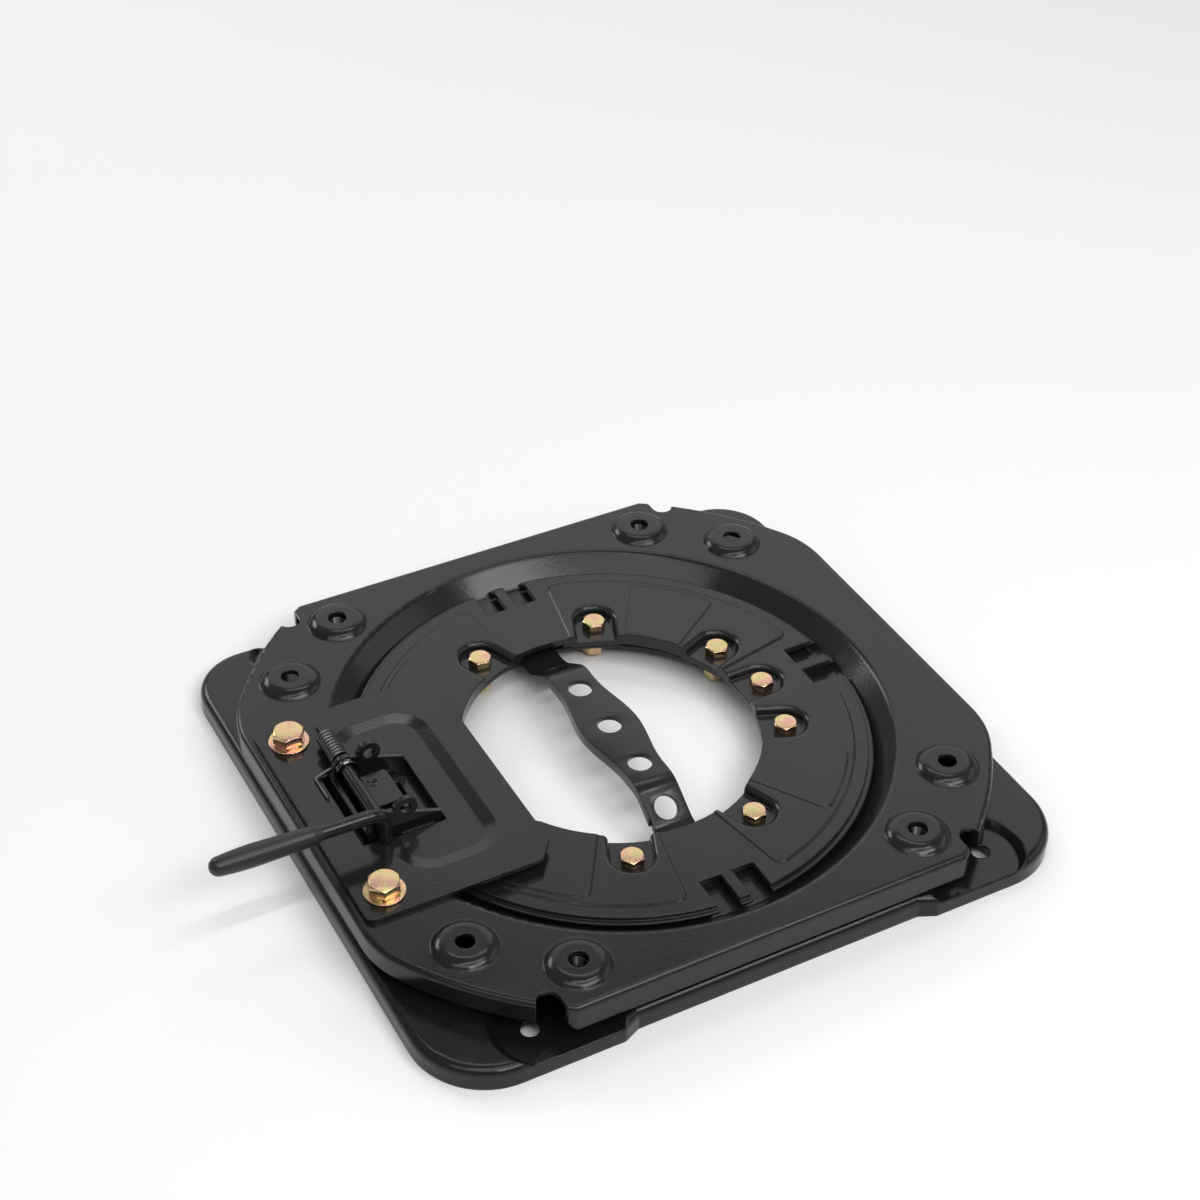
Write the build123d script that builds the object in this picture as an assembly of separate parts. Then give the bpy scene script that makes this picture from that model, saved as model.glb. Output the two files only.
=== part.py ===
from build123d import *
import math
import os

os.makedirs("parts", exist_ok=True)

# Millimetres, Z up. The origin is on the swivel axis at floor level, and the latch lies towards -X.

# Base plate, a pressed tray with its rim turned down to the floor
sheet = 3.0
base_half_x = 202.6
base_half_y = 190.0
base_middle_y = -3.5
base_press_x = 3.5
base_height = 14.0
base_corner_front = 45.0
base_corner_rear = 35.0
base_edge_round = 5.0
rim_inset = 4.5
rim_inset_half = 90.0
rim_ramp = 10.0
centre_hole = 97.0
pad_depth = 4.5
pad_inset = 21.5
pad_radius = 26.5
pad_width = 36.0
mount_x = 145.5
pad_round_x = 138.0
mount_inset = 23.5
mount_hole = 5.25
pad_slope = 45.0

# Bolt circle of the clamp ring
bolt_circle = 105.0
bolt_angles = [0, 22.5, 67.5, 112.5, 157.5, 180, 202.5, 247.5, 292.5, 337.5]
bolt_hole = 4.4
m8_shank = 4.0
m8_flats = 13.0
m8_head = 5.3
m8_length = 20.0
m8_nut = 6.8

# Clamp ring with its bolt pockets, lock notches and pressed sectors
ring_inner = 90.0
ring_outer = 155.8
ring_step = 152.8
ring_lip = 1.7
ring_sheet = 4.0
ring_top = 27.5
pocket_radius = 12.0
pocket_floor = 22.5
pocket_round = 4.0
pocket_foot = 0.6
inner_lip = 2.5
inner_lip_drop = 3.0
notch_inner = 132.0
notch_width = 14.0
notch_web = 7.0
sector_outer = 145.0
sector_from = 11.5
sector_rise = 0.8
panel_from = 33.5
panel_outer = 141.0
panel_rise = 0.7

# Slide rings and spacer under the clamp ring
running_gap = 0.08
slide_lift = 0.2
turn_inner = 123.5
lower_slide = 3.0
slide_outer = 131.0
collar_inner = 121.0
spacer_inner = 98.5
spacer_outer = 115.0

# Cross strap over the centre hole
strap_rise = 9.7
strap_flat = 60.8
strap_slope_end = 74.9
strap_foot_end = 103.0
strap_narrow = 13.5
strap_wide = 19.0
strap_lip = 5.0
strap_bend = 4.0
strap_hole = 7.4
strap_pitch = 37.0

# Turning top plate
top_half_x = 201.3
top_half_y = 188.2
top_bulge = 23.7
top_radius = top_half_x + top_bulge
top_corner = 60.0
top_level = 34.0
top_drop_straight = 16.4
top_drop_curved = 14.5
top_edge_round = 3.0
dish_radius = 169.0
dish_bend = 4.0
corner_cut_x = 134.5
corner_cut_y = top_half_y - 11.7
corner_cut_half = 6.8
flange_corner = 6.0
thread_x = 108.4
thread_y = top_half_y - 27.6
plain_x = top_half_x - 45.1
plain_y = 121.7
dome_rise = 4.0
dome_top = 11.1
dome_foot = 18.6
dome_foot_round = 1.4
dome_blend = 20.5
thread_clear = 5.7
plain_hole = 5.5
well_left = 175.7
well_right = 157.0
well_half_y = 32.0

# M10 fasteners
m10_shank = 5.0
m10_core = 4.25
m10_flats = 17.0
m10_head = 6.4
m10_nut = 8.0
m10_washer = 12.0
m10_washer_thick = 2.5
m10_hole = 5.5

# Latch plate
latch_left = 5.0 - top_half_x
latch_right = -80.4
latch_half_y = 85.3
latch_corner = 5.0
latch_chamfer_x = 10.0
latch_chamfer_y = 12.0
latch_bolt_x = latch_left + 17.3
latch_bolt_y = 68.0
window_left = -175.0
window_right = -124.0
window_half_y = 31.0
step_depth = 1.5
step_left = -162.0
step_right = -100.0
step_half_y = 65.0
step_wall = 8.0
step_corner = 22.0
step_seam = 0.4

# Latch bracket, axle, pawl and lever
axle_x = -162.0
axle_z = 46.0
axle_radius = 4.0
axle_rear = 62.0
axle_step = 29.0
axle_thin = 3.0
axle_gap = 0.06
wall_half = 27.0
cross_wall_x = -171.0
cross_wall_top = 40.0
boss_radius = 7.2
ear_x = -147.0
ear_z = 50.5
ear_radius = 7.3
ear_hole = 3.4
wedge_tip_x = -124.8
wedge_tip_z = 39.0
bracket_bottom = 30.0
tab_from = -150.0
tab_to = -130.0
tab_reach = 11.0
web_top = 45.0
web_half_y = 13.5
web_end = -143.1
web_corner = 2.5
tooth_gap = 4.0
tooth_bottom = 28.6
dimple_x = -153.0
dimple_y = 6.0
dimple_radius = 5.0
lever_radius = 4.2
lever_y = -31.5
lever_z = 57.5
lever_rise = 2.5
lever_bend = 9.0
leg_bottom = 38.0
lever_tip = -264.8
grip_length = 65.0
grip_radius = 6.6
grip_neck = 5.6
grip_wall = 1.2
collar_radius = 6.5
collar_length = 3.0

# Return spring on the axle's rear end
spring_from = 31.0
spring_to = 54.0
spring_wire = 2.0
spring_mean = 4.6
spring_turns = 9
hook_x = -178.0
hook_y = 12.0


def save(shape, name):
    """Writes one piece to its STEP file."""
    export_step(shape, "parts/" + name + ".step")


def tube(outer, inner, low, high):
    """A plain ring between two heights."""
    solid = Pos(0, 0, low) * extrude(Circle(outer), high - low)
    return solid - Pos(0, 0, low) * extrude(Circle(inner), high - low)


def block(x0, x1, y0, y1, z0, z1):
    """A box between two corners."""
    middle = Pos((x0 + x1) / 2, (y0 + y1) / 2, (z0 + z1) / 2)
    return middle * Box(x1 - x0, y1 - y0, z1 - z0)


def on_circle(angle, radius):
    """A place on a circle about the swivel axis."""
    return Pos(radius * math.cos(math.radians(angle)), radius * math.sin(math.radians(angle)), 0)


def hexagon(flats, low, high):
    """A hexagonal prism by its width across flats."""
    return Pos(0, 0, low) * extrude(RegularPolygon(flats / 2, 6, major_radius=False), high - low)


def chamfered_head(flats, low, high):
    """A hexagonal head with its top corners turned off, as on a rolled bolt."""
    head = hexagon(flats, low, high)
    rise = high - low
    reach = flats / 2 + 0.25
    cone = Pos(0, 0, low + rise / 2) * Cone(reach + rise * 1.7, reach, rise)
    return head & cone


def base_outline(shrink):
    """The rounded rectangle of the base, with the rim set in along the middle of its long sides."""
    half_x, half_y = base_half_x - shrink, base_half_y - shrink
    inner, outer = rim_inset_half, rim_inset_half + rim_ramp
    low, high = -half_y, half_y
    steps = [(-outer, 0), (-inner, rim_inset), (inner, rim_inset), (outer, 0)]
    points = [(-half_x, low)] + [(x + base_press_x, low + step) for x, step in steps] + [(half_x, low)]
    points += [(half_x, high)] + [(base_press_x - x, high - step) for x, step in steps] + [(-half_x, high)]
    face = make_face(Polyline(*points, close=True))
    front = [v for v in face.vertices() if abs(v.X) > half_x - 1 and v.Y < 0]
    face = fillet(front, base_corner_front - shrink)
    rear = [v for v in face.vertices() if abs(v.X) > half_x - 1 and v.Y > half_y - 1]
    face = fillet(rear, base_corner_rear - shrink)
    return Pos(0, base_middle_y) * face


def pad_shape(grow):
    """The floor of one sunken mounting pad at the front right; it is round outwards and open to the rim."""
    radius = pad_radius + grow
    middle = pad_inset - base_half_y
    left, second = pad_round_x - pad_width - grow, pad_round_x - pad_width + pad_radius
    bottom = middle - pad_radius - 2 * pad_inset
    face = Pos(pad_round_x, middle) * Circle(radius) + Pos(second, middle) * Circle(radius)
    face += Pos((second + pad_round_x) / 2, middle + radius / 2) * Rectangle(pad_round_x - second, radius)
    way_out = Rectangle(pad_round_x - left, middle - bottom)
    return face + Pos((left + pad_round_x) / 2, (middle + bottom) / 2) * way_out


def base_plate():
    """A drawn tray with four sunken mounting pads, a centre hole and the clamp bolt holes."""
    outer = extrude(base_outline(0), base_height)
    outer = fillet(outer.faces().sort_by(Axis.Z)[-1].edges(), base_edge_round)
    inner = extrude(base_outline(sheet), base_height - sheet)
    inner = fillet(inner.faces().sort_by(Axis.Z)[-1].edges(), base_edge_round - sheet)
    grow = sheet * math.tan(math.radians(pad_slope / 2))
    for flip_x in (False, True):
        for flip_y in (False, True):
            low = extrude(pad_shape(0), pad_depth + 1, taper=-pad_slope)
            below = extrude(pad_shape(grow), pad_depth + 1, taper=-pad_slope)
            if flip_x:
                low, below = mirror(low, Plane.YZ), mirror(below, Plane.YZ)
            if flip_y:
                low, below = mirror(low, Plane.XZ), mirror(below, Plane.XZ)
            outer -= Pos(base_press_x, base_middle_y, base_height - pad_depth) * low
            inner -= Pos(base_press_x, base_middle_y, base_height - pad_depth - sheet) * below
    plate = outer - inner
    plate -= extrude(Circle(centre_hole), base_height + 1)
    for angle in bolt_angles:
        plate -= on_circle(angle, bolt_circle) * extrude(Circle(bolt_hole), base_height + 1)
    mount_y = base_half_y - mount_inset
    for x in (-mount_x, mount_x):
        for y in (-mount_y, mount_y):
            plate -= Pos(x + base_press_x, y + base_middle_y) * extrude(Circle(mount_hole), base_height + 1)
    return plate


def pocket(radius, low, high):
    """The U-shaped pocket round one bolt, open towards the centre hole."""
    reach = bolt_circle - ring_inner + 12
    face = Circle(radius) + Pos(-reach / 2, 0) * Rectangle(reach, 2 * radius)
    return Pos(bolt_circle, 0, low) * extrude(face, high - low)


def pocket_cutter(level):
    """What the press pushes down for one bolt, with a rounded foot and a rounded shoulder."""
    wide, far = pocket_radius, pocket_radius + pocket_round
    near, low, high = wide - pocket_foot, pocket_floor + pocket_foot, level - pocket_round
    small, large = pocket_foot * math.sqrt(0.5), pocket_round * math.sqrt(0.5)
    foot = ThreePointArc((near, pocket_floor), (near + small, low - small), (wide, low))
    shoulder = ThreePointArc((wide, high), (far - large, high + large), (far, level))
    rest = Polyline((far, level), (far, level + 5), (0, level + 5), (0, pocket_floor), (near, pocket_floor))
    half = make_face([foot, Line((wide, low), (wide, high)), shoulder, rest])
    reach = bolt_circle - ring_inner + 12
    channel = extrude(Plane.YZ * (half + mirror(half, Plane.YZ)), -reach)
    return Pos(bolt_circle, 0, 0) * (revolve(Plane.XZ * half, Axis.Z) + channel)


def sector(low_angle, high_angle, outer, rise, level):
    """A shallow raised sector with sloping sides, as pressed into the sheet."""
    a, b = math.radians(low_angle), math.radians(high_angle)
    mid = (a + b) / 2
    inner = ring_inner - 6
    start, top = (inner * math.cos(a), inner * math.sin(a)), (outer * math.cos(a), outer * math.sin(a))
    far, end = (outer * math.cos(b), outer * math.sin(b)), (inner * math.cos(b), inner * math.sin(b))
    rim = ThreePointArc(top, (outer * math.cos(mid), outer * math.sin(mid)), far)
    face = make_face([Line(start, top), rim, Line(far, end), Line(end, start)])
    face = fillet([v for v in face.vertices() if math.hypot(v.X, v.Y) > outer - 1], 6)
    return Pos(0, 0, level) * extrude(face, rise, taper=55)


def clamp_ring():
    """The pressed ring that holds the turning plate down."""
    ring = tube(ring_step, ring_inner, ring_top - ring_sheet, ring_top)
    ring += tube(ring_outer, ring_inner, ring_top - ring_sheet, ring_top - ring_sheet + ring_lip)
    under = ring_top - ring_sheet
    lip = tube(ring_inner + inner_lip, ring_inner, under - inner_lip_drop, under)
    gap = strap_narrow + 0.5
    ring += lip - block(-gap, gap, -ring_outer, ring_outer, 0, under)
    for quarter in range(4):
        start = 90 * quarter
        ring += sector(start + sector_from, start + 90 - sector_from, sector_outer, sector_rise, ring_top)
        level = ring_top + sector_rise
        ring += sector(start + panel_from, start + 90 - panel_from, panel_outer, panel_rise, level)
    for angle in bolt_angles:
        ring += Rot(0, 0, angle) * pocket(pocket_radius + sheet, pocket_floor - sheet, ring_top - ring_sheet)
    for angle in bolt_angles:
        raised = sector_from < angle % 90 < 90 - sector_from
        ring -= Rot(0, 0, angle) * pocket_cutter(ring_top + (sector_rise if raised else 0))
        ring -= on_circle(angle, bolt_circle) * extrude(Circle(bolt_hole), 60)
    ring -= extrude(Circle(ring_inner), 60)
    for quarter in range(4):
        for side in (-1, 1):
            middle = side * (notch_web + notch_width) / 2
            low, high = middle - notch_width / 2, middle + notch_width / 2
            ring -= Rot(0, 0, 90 * quarter) * block(notch_inner, 2 * notch_inner, low, high, 0, 2 * ring_top)
    return ring


def strap_plan(shrink):
    """The strap seen from above: straight at the ends and wider about its middle hole."""
    narrow, wide = strap_narrow - shrink, strap_wide - shrink
    end = strap_foot_end
    right = [(narrow, 40), (wide - 1.2, 18), (wide, 0), (wide - 1.2, -18), (narrow, -40)]
    left = [(-x, y) for x, y in reversed(right)]
    sides = [Spline(*right, tangents=[(0, -1), (0, -1)]), Spline(*left, tangents=[(0, 1), (0, 1)])]
    low = Polyline((narrow, -40), (narrow, -end), (-narrow, -end), (-narrow, -40))
    high = Polyline((-narrow, 40), (-narrow, end), (narrow, end), (narrow, 40))
    return make_face(sides + [low, high])


def strap_side(low, high, half):
    """The strap's bent line seen from the side, between two offsets from its upper face."""
    foot = ring_top - ring_sheet
    top = foot + strap_rise
    upper = [(half, foot), (strap_slope_end, foot), (strap_flat, top)]
    line = [(y, z + high) for y, z in upper] + [(-y, z + high) for y, z in reversed(upper)]
    back = [(-y, z - low) for y, z in upper] + [(y, z - low) for y, z in reversed(upper)]
    face = make_face(Polyline(*line, *back, close=True))
    bends = [v for v in face.vertices() if abs(v.X) < strap_slope_end + 1]
    return Plane.YZ * fillet(bends, strap_bend)


def cross_strap():
    """A raised strap with turned-down sides, welded under the clamp ring at both ends."""
    band = extrude(strap_side(sheet, 0, strap_foot_end), 40, both=True)
    body = band & extrude(strap_plan(0), 60)
    lips = extrude(strap_side(sheet + strap_lip, 0, strap_foot_end), 40, both=True)
    lips = lips & (extrude(strap_plan(0), 60) - extrude(strap_plan(sheet - 0.5), 60))
    lips = lips & block(-40, 40, 2 - strap_slope_end, strap_slope_end - 2, 0, 60)
    body = body + lips
    foot = ring_top - ring_sheet
    slope = math.degrees(math.atan2(strap_rise, strap_slope_end - strap_flat))
    for y in (-strap_pitch, 0, strap_pitch):
        body -= Pos(0, y, foot) * extrude(Circle(strap_hole), strap_rise + 5)
    for side in (-1, 1):
        middle = Pos(0, side * (strap_flat + strap_slope_end) / 2, foot + strap_rise / 2)
        body -= middle * Rot(-side * slope, 0, 0) * Cylinder(strap_hole, 14)
    return body


def spacer_ring():
    """A flat ring that carries the floors of the bolt pockets on the base."""
    ring = tube(spacer_outer, spacer_inner, base_height, pocket_floor - sheet)
    for angle in bolt_angles:
        ring -= on_circle(angle, bolt_circle) * extrude(Circle(bolt_hole), 60)
    return ring


def lower_slide_ring():
    """The flat slide ring between the base and the turning plate."""
    return tube(slide_outer, turn_inner + 0.5, base_height, base_height + lower_slide)


def upper_slide_ring():
    """The slide ring under the clamp ring, with the collar that centres the turning plate."""
    low = base_height + lower_slide + sheet + slide_lift
    flange = tube(slide_outer, collar_inner, low, ring_top - ring_sheet)
    return flange + tube(turn_inner - running_gap, collar_inner, base_height, low + 1)


def ring_bolt():
    """An M8 hexagon bolt standing in its pocket."""
    head = chamfered_head(m8_flats, pocket_floor, pocket_floor + m8_head)
    shank = Pos(0, 0, pocket_floor - m8_length) * extrude(Circle(m8_shank), m8_length)
    return head + chamfer(shank.faces().sort_by(Axis.Z)[0].edges(), 0.8)


def ring_nut():
    """An M8 nut under the base."""
    low = base_height - sheet - m8_nut
    nut = chamfered_head(m8_flats, low, base_height - sheet)
    return nut - Pos(0, 0, low) * extrude(Circle(m8_shank), m8_nut)


def top_outline(shrink):
    """A disc cut straight on all four sides."""
    face = Circle(top_radius - shrink) & Rectangle(2 * (top_half_x - shrink), 2 * (top_half_y - shrink))
    sides = [v for v in face.vertices() if abs(v.X) > top_half_x - shrink - 0.5]
    return fillet(sides, top_corner - shrink)


def dish():
    """The sunken bearing flange and the sloping wall that leads down to it."""
    low = base_height + lower_slide + slide_lift / 2
    drop = top_level - low - sheet
    slant = sheet * (math.sqrt(2) - 1)
    foot = dish_radius - drop
    far = dish_radius + dish_bend
    points = [(turn_inner, low), (foot + slant, low), (dish_radius + slant, top_level - sheet)]
    points += [(far, top_level - sheet), (far, top_level), (dish_radius, top_level), (foot, low + sheet)]
    points += [(turn_inner, low + sheet)]
    face = make_face(Polyline(*points, close=True))
    bends = [v for v in face.vertices() if foot - 1 < v.X < dish_radius + slant + 0.5]
    face = fillet(bends, dish_bend)
    return revolve(Plane.XZ * face, Axis.Z)


def dome(hole):
    """One raised seat pressed into the top plate: a flat top that rounds down to its foot."""
    low, high = top_level - sheet, top_level + dome_rise
    reach = dome_foot - dome_top
    crown = (reach * reach + dome_rise * dome_rise) / (2 * dome_rise)
    under, middle = crown - sheet, high - crown
    inner_end = dome_top + math.sqrt(under * under - (low - middle) ** 2)
    steep = math.asin(reach / crown) / 2
    outer_way = (dome_top + crown * math.sin(steep), middle + crown * math.cos(steep))
    inner_way = (dome_top + under * math.sin(steep), middle + under * math.cos(steep))
    outer = ThreePointArc((dome_top, high), outer_way, (dome_foot, top_level))
    inner = ThreePointArc((inner_end, low), inner_way, (dome_top, high - sheet))
    edge = Polyline((dome_foot, top_level), (dome_blend, top_level), (dome_blend, low), (inner_end, low))
    seat = Polyline((dome_top, high - sheet), (hole, high - sheet), (hole, high), (dome_top, high))
    face = make_face([outer, edge, inner, seat])
    foot = [v for v in face.vertices() if abs(v.X - dome_foot) < 0.1 and v.Y > top_level - 0.1]
    face = fillet(foot, dome_foot_round)
    return revolve(Plane.XZ * face, Axis.Z)


def dome_places():
    """The eight raised seats: where each lies and the radius of its hole."""
    places = []
    for sx in (-1, 1):
        for sy in (-1, 1):
            places.append((sx * thread_x, sy * thread_y, thread_clear))
            places.append((sx * plain_x, sy * plain_y, plain_hole))
    return places


def top_plate():
    """The turning plate with its turned-down edges, dish, raised seats and latch well."""
    height = top_drop_straight
    low = top_level - height
    outer = Pos(0, 0, low) * extrude(top_outline(0), height)
    outer = fillet(outer.faces().sort_by(Axis.Z)[-1].edges(), top_edge_round)
    inner = Pos(0, 0, low) * extrude(top_outline(sheet), height - sheet)
    inner = fillet(inner.faces().sort_by(Axis.Z)[-1].edges(), 1)
    plate = outer - inner
    plate -= extrude(Circle(dish_radius + dish_bend), 60)
    plate += dish()
    for x, y, hole in dome_places():
        plate -= Pos(x, y, low) * extrude(Circle(dome_blend), 40)
        plate += Pos(x, y) * dome(hole)
    raised = top_drop_straight - top_drop_curved
    far = 2 * top_radius
    for sx in (-1, 1):
        near, out = sorted((sx * corner_cut_x, sx * far))
        plate -= block(near, out, -far, far, 0, low + raised)
        for sy in (-1, 1):
            cut = Pos(sx * corner_cut_x, sy * corner_cut_y) * Circle(corner_cut_half)
            reach = sy * top_radius
            strip = Pos(sx * corner_cut_x, (sy * corner_cut_y + reach) / 2)
            cut += strip * Rectangle(2 * corner_cut_half, top_radius - corner_cut_y)
            plate -= extrude(cut, 2 * top_level)
            edge = Pos(sx * (corner_cut_x - corner_cut_half), 0, low)
            side = flange_corner
            square = Pos(-sx * side / 2, side / 2) * Rectangle(side, side)
            square -= Pos(-sx * side, side) * Circle(side)
            tool = extrude(Plane.XZ * square, top_half_y - corner_cut_y, both=True)
            plate -= edge * Pos(0, sy * top_half_y, 0) * tool
    plate -= block(-well_left, -well_right, -well_half_y, well_half_y, low, 2 * top_level)
    for side in (-1, 1):
        plate -= Pos(latch_bolt_x, side * latch_bolt_y) * extrude(Circle(m10_hole), 60)
    return plate


def weld_nut(top):
    """An M10 nut welded under a hole, its upper face at the given height."""
    nut = hexagon(m10_flats, top - m10_nut, top)
    return nut - Pos(0, 0, top - m10_nut) * extrude(Circle(m10_core), m10_nut)


def latch_nut():
    """The M10 nut welded under the top plate for a latch bolt."""
    nut = hexagon(m10_flats, top_level - sheet - m10_nut, top_level - sheet)
    return nut - Pos(0, 0, 0) * extrude(Circle(m10_shank), 60)


def latch_bolt():
    """An M10 hexagon bolt of the latch plate."""
    seat = top_level + sheet + m10_washer_thick
    length = seat - top_level + sheet + m10_nut + 1
    head = chamfered_head(m10_flats, seat, seat + m10_head)
    shank = Pos(0, 0, seat - length) * extrude(Circle(m10_shank), length)
    return head + chamfer(shank.faces().sort_by(Axis.Z)[0].edges(), 0.8)


def latch_washer():
    """The washer under a latch bolt's head."""
    low = top_level + sheet
    washer = tube(m10_washer, m10_shank + 0.25, low, low + m10_washer_thick)
    return chamfer(washer.faces().sort_by(Axis.Z)[-1].edges().sort_by(SortBy.LENGTH)[-1], 0.7)


def step_shape(inset):
    """The plan of the shallow step round the latch window."""
    width = step_right - step_left - 2 * inset
    face = Pos((step_left + step_right) / 2, 0) * Rectangle(width, 2 * (step_half_y - inset))
    return fillet(face.vertices(), step_corner - inset)


def latch_plate():
    """The flat plate over dish and ring, stepped down round the latch window."""
    low, high = top_level, top_level + sheet
    cx, cy = latch_chamfer_x, latch_chamfer_y
    points = [(latch_left, -latch_half_y), (latch_right - cx, -latch_half_y)]
    points += [(latch_right, -latch_half_y + cy), (latch_right, latch_half_y - cy)]
    points += [(latch_right - cx, latch_half_y), (latch_left, latch_half_y)]
    face = make_face(Polyline(*points, close=True))
    face = fillet([v for v in face.vertices() if v.X < latch_left + 1], latch_corner)
    plate = Pos(0, 0, low) * extrude(face, sheet)
    upper = loft([Pos(0, 0, high) * step_shape(0), Pos(0, 0, high - step_depth) * step_shape(step_wall)])
    rim, floor = step_shape(-step_seam), step_shape(step_wall - step_seam)
    lower = loft([Pos(0, 0, low) * rim, Pos(0, 0, low - step_depth) * floor])
    plate = plate + lower - upper
    span = window_right - window_left
    plate -= Pos(window_left + span / 2, 0, 20) * extrude(Rectangle(span, 2 * window_half_y), 30)
    for side in (-1, 1):
        plate -= Pos(latch_bolt_x, side * latch_bolt_y) * extrude(Circle(m10_hole), 60)
    return plate


def wall_profile():
    """One cheek of the bracket seen from the side."""
    low, left = bracket_bottom, cross_wall_x
    points = [(left, low), (wedge_tip_x, low), (wedge_tip_x, wedge_tip_z), (ear_x + 5, ear_z - 5.2)]
    points += [(ear_x, ear_z), (axle_x, axle_z + boss_radius - 1), (axle_x - 5.5, axle_z + 2)]
    points += [(left, cross_wall_top)]
    face = make_face(Polyline(*points, close=True))
    face = face + Pos(axle_x, axle_z) * Circle(boss_radius) + Pos(ear_x, ear_z) * Circle(ear_radius)
    face -= Pos(axle_x, axle_z) * Circle(axle_radius + axle_gap)
    return face - Pos(ear_x, ear_z) * Circle(ear_hole)


def latch_bracket():
    """A folded bracket: two cheeks, the cross wall between them and a welding tab on each."""
    cheek = extrude(Plane.XZ * wall_profile(), sheet)
    top_of_tab = top_level - step_depth
    parts = []
    for side in (-1, 1):
        outer = side * wall_half
        parts.append(Pos(0, outer if side > 0 else outer + sheet, 0) * cheek)
        near, far = sorted((outer, outer + side * tab_reach))
        parts.append(block(tab_from, tab_to, near, far, top_of_tab - sheet + 0.5, top_of_tab))
    wall = block(cross_wall_x, cross_wall_x + sheet, -wall_half, wall_half, bracket_bottom, cross_wall_top)
    return wall + parts


def lever_path():
    """The centre line of the lever: out from its tip, over the bracket and down its leg."""
    inside = (lever_tip + grip_neck, lever_y, lever_z + lever_rise)
    corner, foot = (axle_x, lever_y, lever_z), (axle_x, lever_y, leg_bottom)
    return FilletPolyline(inside, corner, foot, radius=lever_bend)


def lever_rod():
    """A round bar that runs out under the seat and turns down beside the bracket."""
    path = lever_path()
    return sweep(Plane(origin=path @ 0, z_dir=path % 0) * Circle(lever_radius), path=path)


def axle():
    """The latch axle, welded into the lever's leg at the front and turned thinner for the spring."""
    points = [(0, lever_y), (axle_radius, lever_y), (axle_radius, axle_step), (axle_thin, axle_step + 0.5)]
    points += [(axle_thin, axle_rear - 1), (axle_thin - 1, axle_rear), (0, axle_rear)]
    rod = revolve(make_face(Polyline(*points, close=True)), Axis.Y)
    return (Pos(axle_x, 0, axle_z) * rod - lever_rod()).solids().sort_by(Axis.Y)[-1]


def grip():
    """The dipped sleeve on the lever, fuller towards its round end."""
    path = lever_path()
    full, neck = grip_length * 0.42, grip_length - 5
    tip_end, half_way = (grip_neck, grip_neck), math.sqrt(0.5)
    tip = ThreePointArc((0, 0), (grip_neck * (1 - half_way), grip_neck * half_way), tip_end)
    belly = ThreePointArc(tip_end, (full * 0.55, (grip_neck + grip_radius) / 2 + 0.25), (full, grip_radius))
    end = lever_radius + grip_wall / 4
    rest = Polyline((full, grip_radius), (neck, grip_neck), (grip_length, end), (grip_length, 0), (0, 0))
    sleeve = revolve(make_face([tip, belly, rest]), Axis.X)
    start = (lever_tip, lever_y, lever_z + lever_rise + (path % 0).Z * -grip_neck)
    turn = math.degrees(math.atan2(-(path % 0).Z, (path % 0).X))
    return Pos(*start) * Rot(0, turn, 0) * sleeve - lever_rod()


def pawl():
    """The web welded to the axle, bent down into two teeth."""
    reach = web_end + sheet / 2
    web = block(axle_x, reach, -web_half_y, web_half_y, tooth_bottom, web_top)
    web = fillet(web.edges().filter_by(Axis.Z).group_by(Axis.X)[-1], web_corner)
    web -= block(axle_x, reach - sheet, -web_half_y, web_half_y, tooth_bottom - 1, web_top - sheet)
    body = web - block(axle_x, reach + 1, -tooth_gap, tooth_gap, tooth_bottom - 1, tooth_bottom + 6)
    body -= Pos(axle_x, 0, axle_z) * Rot(90, 0, 0) * Cylinder(axle_radius, 4 * web_half_y)
    return body - Pos(dimple_x, dimple_y, web_top + dimple_radius - 1.4) * Sphere(dimple_radius)


def axle_collar():
    """The pressed collar that keeps the axle from sliding, inside the rear cheek."""
    rear = wall_half - sheet - 0.4
    ring = Rot(90, 0, 0) * Cylinder(collar_radius, collar_length)
    ring = Pos(axle_x, rear - collar_length / 2, axle_z) * ring
    ring = chamfer(ring.faces().sort_by(Axis.Y)[0].edges(), 0.8)
    return ring - Pos(axle_x, 0, axle_z) * Rot(90, 0, 0) * Cylinder(axle_radius, 2 * axle_rear)


def return_spring():
    """The torsion spring with one leg hooked on the latch plate."""
    length = spring_to - spring_from
    coil = Helix(length / spring_turns, length, spring_mean)
    wire = Circle(spring_wire / 2)
    start = Plane(origin=coil @ 0, z_dir=coil % 0)
    body = sweep(start * wire, path=coil)
    lie = Plane(origin=(axle_x, spring_from, axle_z), x_dir=(0, 0, -1), z_dir=(0, 1, 0))
    body = lie * body
    rest = top_level + sheet + spring_wire / 2 + 0.05
    foot = (axle_x, spring_from, axle_z - spring_mean)
    bends = [foot, (axle_x - 6, spring_from, axle_z - spring_mean)]
    bends += [(hook_x, spring_from, rest), (hook_x, hook_y, rest)]
    leg = FilletPolyline(*bends, radius=1.6)
    section = Plane(origin=leg @ 0, z_dir=leg % 0) * wire
    return body + sweep(section, path=leg)


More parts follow.
